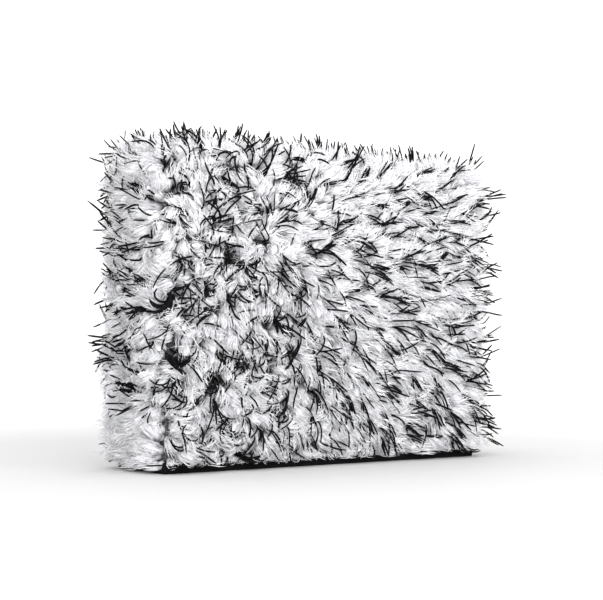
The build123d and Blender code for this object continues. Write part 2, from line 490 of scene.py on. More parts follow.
def fibre_colour_group():
    """Colours fibres by place: u tells one from the next, and v runs from root to tip, with painted shade
    that darkens each fibre towards its root.
    """
    sockets = {"Root": "Color", "Tip": "Color", "Darkest": "Float"}
    group, given, result = new_group("fibre_colour", sockets, {"Color": "Color"})
    link = group.links.new
    place = add_node(group, "UVMap", {"uv_map": "OFBake"})
    split = add_node(group, "SeparateXYZ")
    link(place.outputs["UV"], split.inputs["Vector"])
    # painted shade: the root colour near the root, giving way to the tip colour within the first quarter of
    # the length
    rise = add_node(group, "MapRange", {"interpolation_type": "SMOOTHSTEP"}, From_Max=0.25)
    link(split.outputs["Y"], rise.inputs["Value"])
    blend = add_node(group, "Mix", {"data_type": "RGBA"})
    link(rise.outputs["Result"], blend.inputs["Factor"])
    link(given.outputs["Root"], blend.inputs[MIX_A])
    link(given.outputs["Tip"], blend.inputs[MIX_B])
    stretch = add_node(group, "Mapping", Scale=(420.0, 5.0, 1.0))
    link(place.outputs["UV"], stretch.inputs["Vector"])
    noise = add_node(group, "TexNoise", Scale=1.0)
    link(stretch.outputs["Vector"], noise.inputs["Vector"])
    change = add_node(group, "MapRange", From_Min=0.3, From_Max=0.6, To_Max=1.0)
    link(noise.outputs["Fac"], change.inputs["Value"])
    link(given.outputs["Darkest"], change.inputs["To Min"])
    shade = add_node(group, "Mix", {"data_type": "RGBA", "blend_type": "MULTIPLY"}, Factor=1.0)
    link(blend.outputs[MIXED], shade.inputs[MIX_A])
    link(change.outputs["Result"], shade.inputs[MIX_B])
    link(shade.outputs[MIXED], result.inputs["Color"])
    return group


def cloth_grain_group():
    """Crossed threads, a little uneven, on faces along any two axes, coloured darker in the hollows between
    threads with painted shade and lighter on their crests.
    """
    sockets = {"Hollow": "Color", "Crest": "Color", "Threads": "Float", "Uneven": "Float"}
    group, given, result = new_group("cloth_grain", sockets, {"Color": "Color", "Height": "Float"})
    link = group.links.new
    place = add_node(group, "TexCoord")
    spaced = add_node(group, "VectorMath", {"operation": "SCALE"})
    link(place.outputs["Object"], spaced.inputs[0])
    link(given.outputs["Threads"], spaced.inputs["Scale"])
    crossed = add_node(group, "VectorMath", {"operation": "SINE"})
    link(spaced.outputs["Vector"], crossed.inputs[0])
    summed = add_node(group, "VectorMath", {"operation": "DOT_PRODUCT"})
    summed.inputs[1].default_value = (0.25, 0.25, 0.25)
    link(crossed.outputs["Vector"], summed.inputs[0])
    patches = add_node(group, "TexNoise", Scale=60.0, Detail=5.0)
    link(place.outputs["Object"], patches.inputs["Vector"])
    spread = add_node(group, "Math", {"operation": "MULTIPLY_ADD"})
    link(patches.outputs["Fac"], spread.inputs[0])
    link(given.outputs["Uneven"], spread.inputs[1])
    link(summed.outputs["Value"], spread.inputs[2])
    link(spread.outputs["Value"], result.inputs["Height"])
    # painted shade: the colour goes from the hollow colour between threads to the crest colour on top, with
    # patches of random tone from the unevenness
    colour = add_node(group, "Mix", {"data_type": "RGBA"})
    link(spread.outputs["Value"], colour.inputs["Factor"])
    link(given.outputs["Hollow"], colour.inputs[MIX_A])
    link(given.outputs["Crest"], colour.inputs[MIX_B])
    link(colour.outputs[MIXED], result.inputs["Color"])
    return group


FIBRE_COLOUR = fibre_colour_group()
CLOTH_GRAIN = cloth_grain_group()


def pile_material(name, root, tip, darkest, roughness, gloss):
    """Fibres that change from root to tip, darker at the root with painted shade, each one a little different
    from the next.
    """
    material, tree, shader = new_material(name)
    colour = add_node(tree, "Group", {"node_tree": FIBRE_COLOUR}, Root=root, Tip=tip, Darkest=darkest)
    tree.links.new(colour.outputs["Color"], shader.inputs["Base Color"])
    set_inputs(shader, Roughness=roughness, Specular_IOR_Level=gloss)
    return material


def cloth_material(name, hollow, crest, threads_per_mm, uneven, roughness, sheen, gloss):
    """Woven or knitted cloth. Its threads stand a little above the hollows between them, and painted shade
    darkens the hollows.
    """
    material, tree, shader = new_material(name)
    link = tree.links.new
    grain = add_node(tree, "Group", {"node_tree": CLOTH_GRAIN}, Hollow=hollow, Crest=crest, Uneven=uneven)
    set_inputs(grain, Threads=threads_per_mm * 2 * math.pi / MM)
    relief = add_node(tree, "Bump", Distance=0.15 * MM / threads_per_mm)
    link(grain.outputs["Color"], shader.inputs["Base Color"])
    link(grain.outputs["Height"], relief.inputs["Height"])
    link(relief.outputs["Normal"], shader.inputs["Normal"])
    set_inputs(shader, Roughness=roughness, Specular_IOR_Level=gloss, Sheen_Weight=sheen, Sheen_Roughness=0.4)
    return material


def foam_material():
    """Open-cell padding: pale, with painted shade darkening its small pores."""
    material, tree, shader = new_material("open_cell_foam")
    link = tree.links.new
    place = add_node(tree, "TexCoord")
    pores = add_node(tree, "TexVoronoi", Scale=900.0)
    link(place.outputs["Object"], pores.inputs["Vector"])
    # painted shade: darker in the middle of each pore, pale on the cell walls between them
    shade = add_ramp(tree, (0.05, (0.42, 0.40, 0.34, 1.0)), (0.45, (0.80, 0.78, 0.71, 1.0)))
    link(pores.outputs["Distance"], shade.inputs["Fac"])
    link(shade.outputs["Color"], shader.inputs["Base Color"])
    relief = add_node(tree, "Bump", Distance=0.4 * MM)
    link(pores.outputs["Distance"], relief.inputs["Height"])
    link(relief.outputs["Normal"], shader.inputs["Normal"])
    set_inputs(shader, Roughness=0.95)
    return material


# root colour with painted shade, tip colour, how dark the darkest fibre is, roughness and gloss
# painted shade: each pile is darker at its root than at its tip, the white one also bluer there; the slight
# blue in all four colours is a painted cool cast of the light
WHITE_PILE = pile_material("white_split_fibre", grey(0.55, 0.05), grey(0.9, 0.025), 0.84, 0.85, 0.2)
BLACK_CORD = pile_material("black_cord_ends", grey(0.002, 0.1), grey(0.004, 0.1), 0.4, 0.5, 0.06)

# hollow colour, which is painted shade between threads, crest, threads to a millimetre, unevenness,
# roughness, sheen and gloss
GROUND_KNIT = cloth_material("ground_knit", grey(0.03), grey(0.1), 0.7, 0.5, 0.9, 0.2, 0.3)
LINING = cloth_material("woven_lining", grey(0.07, 0.1), grey(0.16, 0.1), 2.2, 0.4, 0.6, 0.3, 0.5)
BINDING = cloth_material("binding_tape", grey(0.003, 0.1), grey(0.012, 0.1), 1.1, 0.5, 0.85, 0.0, 0.08)
RIB_KNIT = cloth_material("black_rib_knit", grey(0.01, 0.1), grey(0.045, 0.1), 1.4, 0.6, 0.9, 0.15, 0.15)
ELASTIC_BRAID = cloth_material("elastic_braid", grey(0.5), grey(0.82), 1.2, 0.3, 0.7, 0.1, 0.4)
SEWING_THREAD = cloth_material("black_thread", grey(0.012, 0.1), grey(0.05, 0.1), 2.5, 0.4, 0.55, 0.1, 0.3)
FOAM = foam_material()

# ---------------------------------------------------------------- the pile

FRONT, BACK, LEFT, TOP, RIGHT = range(5)
PANEL_NAMES = {FRONT: "front", BACK: "back", LEFT: "left_side", TOP: "top", RIGHT: "right_side"}

# each gusset panel's stretch along the ground's outline; they meet at the middle of the top corners
MITRE_RUN = GROUND_ARCH.side_run + GROUND_ARCH.corner_run / 2
GUSSET_SPANS = {
    LEFT: (0.0, MITRE_RUN),
    TOP: (MITRE_RUN, GROUND_ARCH.run - MITRE_RUN),
    RIGHT: (GROUND_ARCH.run - MITRE_RUN, GROUND_ARCH.run),
}

# how many pieces each panel's tufts are made in, and the axis that they follow one another along
PILE_BANDS = {FRONT: (6, 0), BACK: (6, 0), LEFT: (2, 2), TOP: (2, 0), RIGHT: (2, 2)}

# how low the pile's ends may hang, lowest to highest: the front shows the rim band, the sides don't
BAND_SHOWN = (2.4, 5.0)
BAND_HIDDEN = (0.6, 3.0)
FOOT_RANGE = {FRONT: BAND_SHOWN, BACK: BAND_SHOWN, LEFT: BAND_HIDDEN, TOP: BAND_SHOWN, RIGHT: BAND_HIDDEN}

# How the cord ends grow on each panel: the space between bundles, their length, their tilt from
# upright at the root and at the tip, the stretch they bend over in, how far they fan out and how much
# they curl.
FACE_STYLE = {
    "spacing": 8.3, "length": 24.5, "start": (0.0, 0.4), "end": (1.35, 1.85), "bend": (0.15, 0.7),
    "fan": 0.16, "curl": 0.5,
}
STRAND_STYLES = {
    FRONT: FACE_STYLE,
    BACK: FACE_STYLE,
    LEFT: dict(FACE_STYLE, spacing=7.2, length=20.0, end=(0.3, 1.6), fan=0.3, curl=0.6),
    TOP: dict(FACE_STYLE, spacing=7.8, length=21.0, end=(0.15, 0.9), fan=0.45, curl=0.3),
    RIGHT: dict(FACE_STYLE, spacing=8.0, length=27.5, end=(0.2, 1.0), fan=0.25, curl=0.3),
}

# shares of the full radius or width along a core, a fibre's stand from it, a fibre, a wisp and a cord end
CORE_SHAPE = ([0, 0.25, 0.55, 0.85, 1], [0.8, 1.0, 0.85, 0.4, 0])
STAND_SHAPE = ([0.25, 0.5, 0.8, 1], [0.96, 1.0, 0.75, 0.35])
FIBRE_SHAPE = np.array([1.0, 1.0, 0.8, 0.0])
WISP_SHAPE = ([0, 0.7, 1], [1, 0.9, 0])
STRAND_SHAPE = ([0, 0.8, 0.9, 1.0], [1, 1, 0.7, 0.0])


def looseness(ground, panel):
    """How untidy the pile is, from 0 to 1: combed on the right of the front, curly on the left."""
    if panel == BACK:
        return np.full(len(ground.points), BACK_LOOSENESS)
    return ease((COMBED_X - ground.points[:, 0]) / (COMBED_X - LOOSE_X))


def comb_angle(ground, panel):
    """Which way the pile is brushed at each point, as an angle between across and along."""
    u = (ground.points * ground.across).sum(1)
    v = (ground.points * ground.along).sum(1)
    noise = waves(u, v, 11 + panel, COMB_SCALE)
    swirl = waves(u, v, 31 + panel, SWIRL_SCALE)
    if panel in GUSSET_SPANS:
        return noise * math.pi + swirl
    outwards = np.arctan2(v - CROWN[1], u - CROWN[0])
    far = np.hypot(u - CROWN[0], v - CROWN[1])
    loose = 0.55 + 0.6 * looseness(ground, panel)
    return outwards + noise * (loose * 1.3 + 1.5 * ease(1 - far / CROWN_REACH)) + swirl * loose


def comb_vector(ground, angle):
    return np.cos(angle)[:, None] * ground.across + np.sin(angle)[:, None] * ground.along


def around(angle, side, heading):
    """Directions at an angle round a line, from its side vectors and headings."""
    return np.cos(angle)[..., None] * side + np.sin(angle)[..., None] * np.cross(heading, side)


def tuft_cores(ground, panel, rng):
    """The soft core of each tuft: its centre line, its fullest radius and its radius along the line."""
    count = len(ground.points)
    angle = comb_angle(ground, panel) + rng.normal(0, 0.5, count)
    length = TUFT_LENGTH * ground.reach * rng.uniform(0.78, 1.2, count)
    fall = rng.uniform(*TUFT_FALL, count) * (GUSSET_FALL if panel in GUSSET_SPANS else 1.0)
    fall = fall * (1 - 0.5 * corner_share(ground.points))
    roots = ground.points - ground.lean * 0.5
    core = grown_lines(
        roots, ground.lean, comb_vector(ground, angle), length, (fall * 0.2, fall), (0, 1),
        rng.normal(0, 0.7, count), 0.09, CORE_STEPS, rng,
    )
    plump = CORE_RADIUS * rng.uniform(0.8, 1.2, count)
    radius = plump[:, None] * np.interp(np.arange(CORE_STEPS + 1) / CORE_STEPS, *CORE_SHAPE)
    keep_above(core[0], FOOT_RANGE[panel][0] + radius.max(1) + 1.0)
    return core, plump, radius


def tuft_fibres(core, plump, panel, rng):
    """Fine fibres that wrap each core and part at its tip, some of them straying further out."""
    each = np.repeat(np.arange(len(plump)), FIBRES_PER_TUFT)
    total = len(each)
    shown = (np.arange(CORE_STEPS + 1) / CORE_STEPS)[FIBRE_FROM::2]
    line, side, heading = (part[each, FIBRE_FROM::2] for part in core)
    base = core[0][each, :1]
    turn = rng.uniform(0, 2 * math.pi, total)[:, None] + rng.normal(0, 0.8, total)[:, None] * shown
    stray = np.where(rng.uniform(0, 1, total) < STRAY_SHARE, rng.uniform(0.2, 1.5, total), 0)
    stand = np.interp(shown, *STAND_SHAPE) * rng.uniform(0.94, 1.12, total)[:, None]
    stand = plump[each][:, None] * (stand + stray[:, None] * shown**2)
    reach = rng.uniform(0.8, 1.3, total)[:, None, None]
    drift = np.cumsum(rng.normal(0, 0.6, (total, len(shown), 3)), 1) * shown[None, :, None]
    fibre = base + (line - base) * reach + around(turn, side, heading) * stand[..., None] + drift
    keep_above(fibre, rng.uniform(*FOOT_RANGE[panel], total))
    width = FIBRE_WIDTH * rng.uniform(0.6, 1.3, total)
    return tubes(fibre, side, heading, width[:, None] / 2 * FIBRE_SHAPE, 3)


def tuft_wisps(ground, core, radius, panel, rng):
    """Loose wisps that leave each core at any height and curl over."""
    each = np.repeat(np.arange(len(radius)), WISPS_PER_TUFT)
    total = len(each)
    step = rng.integers(3, CORE_STEPS - 1, total)
    turn = rng.uniform(0, 2 * math.pi, total)
    line, side, heading = (part[each, step] for part in core)
    out = around(turn, side, heading)
    roots = line + out * radius[each, step][:, None] * 0.9
    rise = unit(ground.normals[each] + 0.9 * out + 0.5 * heading)
    wisp = grown_lines(
        roots, rise, heading + rng.normal(0, 0.6, (total, 3)), rng.uniform(*WISP_LENGTH, total),
        (rng.uniform(0, 0.5, total), rng.uniform(1.2, 2.6, total)), (0, 1),
        rng.normal(0, 1.6, total), 0.3, WISP_STEPS, rng,
    )
    keep_above(wisp[0], rng.uniform(*FOOT_RANGE[panel], total))
    width = WISP_WIDTH * rng.uniform(0.7, 1.2, total)
    taper = np.interp(np.arange(WISP_STEPS + 1) / WISP_STEPS, *WISP_SHAPE)
    return tubes(*wisp, width[:, None] / 2 * taper, 3)


def add_hairs(skein, hairs, rng):
    """Adds thin tubes to a skein, each with a colour of its own."""
    skein.add(hairs, rng.uniform(0, 0.99, len(hairs[0])), 0.004)


def white_tufts(ground, panel, rng):
    """Tufts rooted at these points."""
    skein = Skein()
    core, plump, radius = tuft_cores(ground, panel, rng)
    # painted shade: the cores' v runs only to 0.3, so they keep the darker root colour under the fibres
    skein.add(tubes(*core, radius, 8), rng.uniform(0, 0.9, len(plump)), 0.08, 0.3)
    add_hairs(skein, tuft_fibres(core, plump, panel, rng), rng)
    add_hairs(skein, tuft_wisps(ground, core, radius, panel, rng), rng)
    return skein


def black_strands(ground, panel, hollow, rng):
    """Bundles of cord ends rooted at these points, with a thicket of short ones in each hollow."""
    style = STRAND_STYLES[panel]
    bundles = len(ground.points)
    loose = looseness(ground, panel)
    clumped = np.exp(rng.normal(0, 1, bundles) * (0.4 + 0.45 * loose))
    in_bundle = 1 + rng.poisson((STRANDS_PER_BUNDLE - 1) * clumped) + np.where(hollow, HOLLOW_STRANDS, 0)
    each = np.repeat(np.arange(bundles), in_bundle)
    total = len(each)
    rooted, thicket, loose_each = ground.pick(each), hollow[each], loose[each]

    angle = comb_angle(ground, panel) + rng.normal(0, 0.2 + 0.35 * loose, bundles)
    curl = rng.normal(0, 1, bundles) * style["curl"] * (0.3 + 2.4 * loose)
    turn = rng.uniform(0, 2 * math.pi, total)
    out = np.where(thicket, HOLLOW_RADIUS, BUNDLE_RADIUS) * np.sqrt(rng.uniform(0, 1, total))
    roots = rooted.points + comb_vector(rooted, turn) * out[:, None]
    comb = comb_vector(rooted, angle[each] + rng.normal(0, style["fan"], total))
    length = style["length"] * (ground.reach * rng.uniform(0.85, 1.1, bundles))[each]
    length = length * rng.uniform(0.8, 1.1, total) * np.where(thicket, rng.uniform(0.4, 0.95, total), 1)
    start = rng.uniform(*style["start"], bundles)[each] + rng.normal(0, 0.08, total)
    end = rng.uniform(*style["end"], bundles)[each] + rng.normal(0, 0.15, total)
    curl = curl[each] + rng.normal(0, 1, total) * (0.15 + 0.9 * loose_each)
    line, side, heading = grown_lines(
        roots, rooted.lean, comb, length, (start, end), style["bend"], curl, 0.07, STRAND_STEPS, rng
    )
    keep_above(line, rng.uniform(*FOOT_RANGE[panel], total) + 0.5)
    line[:, -1] = line[:, -2] + BLUNT_TIP * (line[:, -1] - line[:, -2])
    width = STRAND_WIDTH * rng.uniform(0.75, 1.1, total)
    taper = np.interp(np.arange(STRAND_STEPS + 1) / STRAND_STEPS, *STRAND_SHAPE)
    skein = Skein()
    add_hairs(skein, tubes(line, side, heading, width[:, None] / 2 * taper, 5), rng)
    return skein


def panel_points(panel, spacing, jitter, rng):
    if panel in GUSSET_SPANS:
        return gusset_strip(*GUSSET_SPANS[panel], spacing, jitter, rng)
    return broad_face(-1 if panel == FRONT else 1, spacing, jitter, rng)


def in_bands(ground, bands, axis):
    """Splits a panel's points into bands of equal number, along X or up Z."""
    order = np.argsort(ground.points[:, axis], kind="stable")
    return [ground.pick(np.sort(part)) for part in np.array_split(order, bands)]


def make_pile():
    """Every panel's tufts and cord ends. Where the pile is loose, a few tufts give way to a hollow."""
    for panel, name in PANEL_NAMES.items():
        rng = np.random.default_rng(100 + panel)
        spacing = GUSSET_TUFT_SPACING if panel in GUSSET_SPANS else TUFT_SPACING
        tufts = panel_points(panel, spacing, TUFT_JITTER, rng)
        strands = panel_points(panel, STRAND_STYLES[panel]["spacing"], STRAND_JITTER, rng)
        if panel == LEFT:
            bare = BARE_FOOT * rng.uniform(0.5, 1.2, len(strands.points))
            strands = strands.pick(strands.points[:, 2] > bare)
        hollow = rng.uniform(0, 1, len(strands.points)) < HOLLOW_SHARE * looseness(strands, panel)
        apart = np.linalg.norm(tufts.points[:, None] - strands.points[hollow][None], axis=2)
        tufts = tufts.pick((apart > HOLLOW_RADIUS).all(1))
        for number, part in enumerate(in_bands(tufts, *PILE_BANDS[panel]), 1):
            piece = white_tufts(part, panel, rng).make(f"{name}_tufts_{number}", WHITE_PILE)
            belongs(piece, "mitt", f"{name}_pile")
        piece = black_strands(strands, panel, hollow, rng).make(f"{name}_cord_ends", BLACK_CORD)
        belongs(piece, "mitt", f"{name}_pile")


# ---------------------------------------------------------------- cloth and foam inside the pile


def slab(name, middle, normals, half, material):
    """A closed sheet or pad from a grid of points, with the half thickness at each point."""
    rows, columns = middle.shape[:2]
    outer = middle + normals * half[..., None]
    inner = middle - normals * half[..., None]
    vertices = np.concatenate([outer.reshape(-1, 3), inner.reshape(-1, 3)])
    number = np.arange(rows * columns).reshape(rows, columns)
    a, b = number[:-1, :-1].ravel(), number[:-1, 1:].ravel()
    c, d = number[1:, 1:].ravel(), number[1:, :-1].ravel()
    front = np.stack([a, b, c, d], 1)
    back = np.stack([d, c, b, a], 1) + rows * columns
    edge = np.concatenate([number[0, :-1], number[:-1, -1], number[-1, :0:-1], number[:0:-1, 0]])
    after = np.roll(edge, -1)
    rim = np.stack([after, edge, edge + rows * columns, after + rows * columns], 1)
    return make_piece(name, vertices, [front, back, rim], material)


def face_grid(arch, y, spacing):
    """A grid over a broad face at y, with its normals, and how far each point is from the edge."""
    columns = round(2 * arch.half_width / spacing)
    rows = round((arch.top - arch.foot) / spacing)
    z = arch.foot + (arch.top - arch.foot) * np.sin(np.linspace(0, math.pi / 2, rows + 1))
    z[-1] = arch.top
    u = np.linspace(-1, 1, columns + 1)
    x = arch.half_width_at(z)[:, None] * u[None, :]
    z = np.broadcast_to(z[:, None], x.shape)
    middle = np.stack([x, np.full(x.shape, y), z], -1)
    normals = np.broadcast_to(np.array([0, math.copysign(1, y), 0]), middle.shape)
    if y > 0:
        middle = middle[:, ::-1]
    to_side = arch.half_width_at(z) - np.abs(middle[..., 0])
    return middle, normals, np.minimum.reduce([to_side, arch.top - z, z - arch.foot])


def strip_grid(arch, start, end, half_depth, spacing):
    """A grid over a strip of the gusset, with its normals, and how far each point is from the edge."""
    s = np.linspace(start, end, round((end - start) / spacing) + 1)
    y = np.linspace(-half_depth, half_depth, max(8, round(2 * half_depth / spacing)) + 1)
    x, z, nx, nz = arch.place(s)
    middle = np.stack(np.broadcast_arrays(x[:, None], y[None, :], z[:, None]), -1)
    normals = np.stack(np.broadcast_arrays(nx[:, None], 0 * y[None, :], nz[:, None]), -1)
    to_end = np.minimum(s - start, end - s)[:, None]
    return middle[:, ::-1], normals[:, ::-1], np.minimum(to_end, half_depth - np.abs(y)[None, :])


def rippled(middle, normals, seed, height, scale):
    """Cloth that isn't quite flat."""
    along = middle[..., 0] + 0.7 * middle[..., 1]
    up = middle[..., 2] - 0.6 * middle[..., 1]
    return middle + normals * (waves(along, up, seed, scale) * height)[..., None]


SIDES = (("front", -1), ("back", 1))


def make_layer(cut_name, node_name, finish, outer_y, inset, corner, spacing, ripples, slack=0.0):
    """A layer of cloth in three cuts: two broad ones and the gusset between them.

    ripples gives the seed, height and scale for the broad cuts, and then for the gusset.
    """
    thickness, material, slot = finish
    half = thickness / 2
    depth = outer_y - thickness
    arch = Arch(inset, corner, PLATE_TOP)
    strip = Arch(inset + half, corner - half, PLATE_TOP)
    (seed, height, scale), strip_ripples = ripples
    cuts = []
    for name, side in SIDES:
        middle, normals, to_edge = face_grid(arch, side * (outer_y - half), spacing)
        sunk = normals * slack * ease(to_edge / 20)[..., None]
        middle = rippled(middle, normals, seed + side, height, scale) - sunk
        cuts.append((name, middle, normals, (2 * arch.half_width, arch.top - arch.foot), f"{name}_foam_pad"))
    middle, normals, _ = strip_grid(strip, 0, strip.run, depth, spacing)
    middle = rippled(middle, normals, *strip_ripples)
    cuts.append(("gusset", middle, normals, (2 * depth, strip.run), "top_foam_pad"))
    for name, middle, normals, (width, length), pad in cuts:
        piece = slab(f"{name}_{cut_name}", middle, normals, np.full(middle.shape[:2], half), material)
        belongs(piece, "mitt", f"{name}_{node_name}")


def make_ground():
    """The knit that the pile is made on."""
    finish = (KNIT_CLOTH, GROUND_KNIT, "ground_knit")
    ripples = ((7, 0.15, 35.0), (3, 0.15, 35.0))
    make_layer("ground_knit", "panel", finish, HALF_THICKNESS, 0, TOP_CORNER, 4.0, ripples)


def make_lining():
    """The hand pocket's cloth, with soft ripples, drawn in a little at the middle of its broad faces."""
    finish = (LINING_CLOTH, LINING, "lining_cloth")
    ripples = ((17, -0.6, 60.0), (23, 0.2, 25.0))
    corner = POCKET_CORNER + LINING_CLOTH
    make_layer("pocket_lining", "lining", finish, -LINING_LOW[1], LINING_INSET, corner, 3.0, ripples, 0.6)


def make_pad(name, middle, normals, to_edge):
    """A foam pad: full in the middle, and rolled over towards its edges."""
    inside = np.clip(to_edge / (FOAM_PAD * 0.45), 0, 1)
    half = FOAM_PAD / 2 * (0.25 + 0.75 * np.sqrt(1 - (1 - inside) ** 2)) - 0.25 * (1 - ease(to_edge / 30))
    piece = slab(f"{name}_foam_pad", middle, normals, half, FOAM)
    belongs(piece, "mitt", f"{name}_foam")


def make_foam():
    """A pad behind each broad face and three in the gusset, with a little room round each."""
    edge_room, foot_room, mitre_room = 0.4, 0.2, 0.3
    inset = FOAM_INSET + edge_room
    arch = Arch(inset, TOP_CORNER - inset, PLATE_TOP + foot_room)
    for name, side in SIDES:
        make_pad(name, *face_grid(arch, side * (-FOAM_LOW[1] - FOAM_PAD / 2), 2.5))
    inset = FOAM_INSET + FOAM_PAD / 2
    strip = Arch(inset, TOP_CORNER - inset, PLATE_TOP + foot_room)
    mitre = strip.side_run + strip.corner_run / 2
    spans = {
        "left_side": (0, mitre - mitre_room),
        "top": (mitre + mitre_room, strip.run - mitre - mitre_room),
        "right_side": (strip.run - mitre + mitre_room, strip.run),
    }
    for name, span in spans.items():
        make_pad(name, *strip_grid(strip, *span, -FOAM_HIGH[1], 2.0))


# ---------------------------------------------------------------- rim band, cuff and thread

# how many steps a loop takes along each side and round each corner, coarse and fine
COARSE = {"along": 48, "across": 12, "turn": 10}
FINE = {"along": 300, "across": 40, "turn": 24}


def oblong(size, corner, z, along, across, turn):
    """A level loop of points round a rounded oblong, with its outward directions."""
    half_x, half_y = size[0] / 2 - corner, size[1] / 2 - corner
    points, outward = [], []
    quarters = ((1, -1), (1, 1), (-1, 1), (-1, -1))
    for index, (sx, sy) in enumerate(quarters):
        angle = (index - 1 + np.linspace(0, 1, turn, endpoint=False)) * math.pi / 2
        away = np.stack([np.cos(angle), np.sin(angle)], 1)
        points.append(np.array([sx * half_x, sy * half_y]) + corner * away)
        outward.append(away)
        nx, ny = quarters[(index + 1) % 4]
        steps = across if nx == sx else along
        ahead = np.array([math.cos(index * math.pi / 2), math.sin(index * math.pi / 2)])
        start = np.array([sx * half_x, sy * half_y]) + corner * ahead
        end = np.array([nx * half_x, ny * half_y]) + corner * ahead
        share = np.linspace(0, 1, steps, endpoint=False)[:, None]
        points.append(start + (end - start) * share)
        outward.append(np.broadcast_to(ahead, (steps, 2)))
    points, outward = np.concatenate(points), np.concatenate(outward)
    level = np.full((len(points), 1), float(z))
    return np.hstack([points, level]), np.hstack([outward, 0 * level])


def inset_loop(size, corner, inset, z, steps):
    """An oblong loop that lies inside the given one by an inset, or outside it if the inset is below 0."""
    inner = (size[0] - 2 * inset, size[1] - 2 * inset)
    return oblong(inner, max(corner - inset, 0.4), z, **steps)


def loops_through(section, size, corner, steps):
    """Loops through a section's points, each an inset from the oblong and a height."""
    return [inset_loop(size, corner, inset, z, steps)[0] for inset, z in section]


def girth(size, corner):
    loop = oblong(size, corner, 0, **COARSE)[0]
    return np.linalg.norm(np.diff(loop, axis=0), axis=1).sum()


def ring_of(name, loops, material):
    """A closed ring whose section runs through the loops in turn and back to the first."""
    rings, around_one = len(loops), len(loops[0])
    number = np.arange(rings * around_one).reshape(rings, around_one)
    after = np.roll(number, -1, 1)
    following = np.roll(number, -1, 0)
    both = np.roll(following, -1, 1)
    faces = np.stack([number.ravel(), after.ravel(), both.ravel(), following.ravel()], 1)
    return make_piece(name, np.concatenate(loops), [faces], material)


def rib_wave(size, corner):
    """Ribs round an oblong, from -1 to 1, with a whole number of them."""
    loop = oblong(size, corner, 0, **FINE)[0]
    steps = np.linalg.norm(np.roll(loop, -1, 0) - loop, axis=1)
    along = np.concatenate([[0], np.cumsum(steps)[:-1]])
    count = round(steps.sum() / RIB_PITCH)
    return np.sin(along / steps.sum() * count * 2 * math.pi)


def make_rim_band():
    """Binding tape round the foot: a low wall outside the ground and a plate under all the layers."""
    wall = BAND_HIGH[0] - HALF_WIDTH
    outside = (
        (1.3, BAND_TOP - 0.1), (0.7, BAND_TOP), (0.2, BAND_TOP - 0.3), (0.0, BAND_TOP - 1.2),
        (-0.15, BAND_TOP / 2), (0.0, 1.2), (0.2, 0.5), (0.8, 0.05), (1.8, 0.0),
    )
    lip = (
        (-2.0, 0.0), (-1.0, 0.05), (-0.3, 0.4), (0.0, 1.0), (-0.3, PLATE_TOP - 0.4), (-1.0, PLATE_TOP - 0.05),
        (-2.0, PLATE_TOP),
    )
    inside = ((wall, PLATE_TOP), (wall, BAND_TOP - 0.5))
    loops = loops_through(outside, BAND_SIZE, BAND_CORNER, COARSE)
    for loop in loops:
        if loop[0, 2] > PLATE_TOP:
            loop[:, 2] += 0.12 * waves(loop[:, 0], loop[:, 1], 5, 30.0)
    loops += loops_through(lip, MOUTH_SIZE, MOUTH_CORNER, COARSE)
    loops += loops_through(inside, BAND_SIZE, BAND_CORNER, COARSE)
    piece = ring_of("rim_binding", loops[::-1], BINDING)
    belongs(piece, "mitt", "rim_band")


def make_cuff_knit():
    """A ribbed knit tube that narrows from the mouth to the hem."""
    base = (KNIT_HIGH[0] * 2, KNIT_HIGH[1] * 2, CUFF_CORNER)
    top = (*HEM_SIZE, HEM_CORNER)
    ribs = RIB_HEIGHT * rib_wave(HEM_SIZE, HEM_CORNER)
    height = KNIT_HIGH[2] - KNIT_LOW[2]
    levels = np.linspace(KNIT_LOW[2], KNIT_HIGH[2], KNIT_LEVELS)
    loops = []
    for inset, order in ((0.45, levels), (CUFF_WALL - 0.35, levels[::-1])):
        for z in order:
            share = np.clip((z - CUFF_BASE_TOP) / (KNIT_HIGH[2] - CUFF_BASE_TOP), 0, 1)
            width, depth, corner = (a + (b - a) * share for a, b in zip(base, top))
            loop, away = inset_loop((width, depth), corner, inset, z, FINE)
            sag = KNIT_SAG * np.sin(share * 3 * math.pi) * waves(loop[:, 0], loop[:, 1], 9, 40.0)
            loops.append(loop + away * (ribs + sag)[:, None])
    piece = ring_of("cuff_rib_knit", loops, RIB_KNIT)
    belongs(piece, None, "cuff_knit")
    flat = (girth(base[:2], CUFF_CORNER) * MM, KNIT_FULLNESS * height * MM)
    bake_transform(piece)


def make_hem():
    """The cuff's folded edge, ribbed on both faces, with a channel for the elastic."""
    foot, top = HEM_LOW[2] - 0.25, HEM_HIGH[2]
    channel_top = top - 1.3
    outside = [(0.3, foot), (0.05, foot + 2), (0.0, foot + 4.5), (0.4, top - 1.1), (1.2, top - 0.3)]
    inside = [(HEM_WALL - inset, z) for inset, z in reversed(outside)]
    deep = HEM_WALL - HEM_FABRIC
    channel = [(deep, foot), (deep, channel_top), (HEM_FABRIC, channel_top), (HEM_FABRIC, foot)]
    ribs = HEM_RIB_HEIGHT * rib_wave(HEM_SIZE, HEM_CORNER)
    loops = []
    for inset, z in [*outside, (HEM_WALL / 2, top), *inside]:
        loop, away = inset_loop(HEM_SIZE, HEM_CORNER, inset, z, FINE)
        from_middle = HEM_WALL / 2 - inset
        push = ribs * np.sign(from_middle) * (abs(from_middle) > 0.5)
        loops.append(loop + away * push[:, None])
    loops += loops_through(channel, HEM_SIZE, HEM_CORNER, FINE)
    piece = ring_of("cuff_hem_fold", loops, RIB_KNIT)
    belongs(piece, "cuff_end", "cuff_hem")
    flat = (girth(HEM_SIZE, HEM_CORNER) * MM, HEM_CUT * MM)


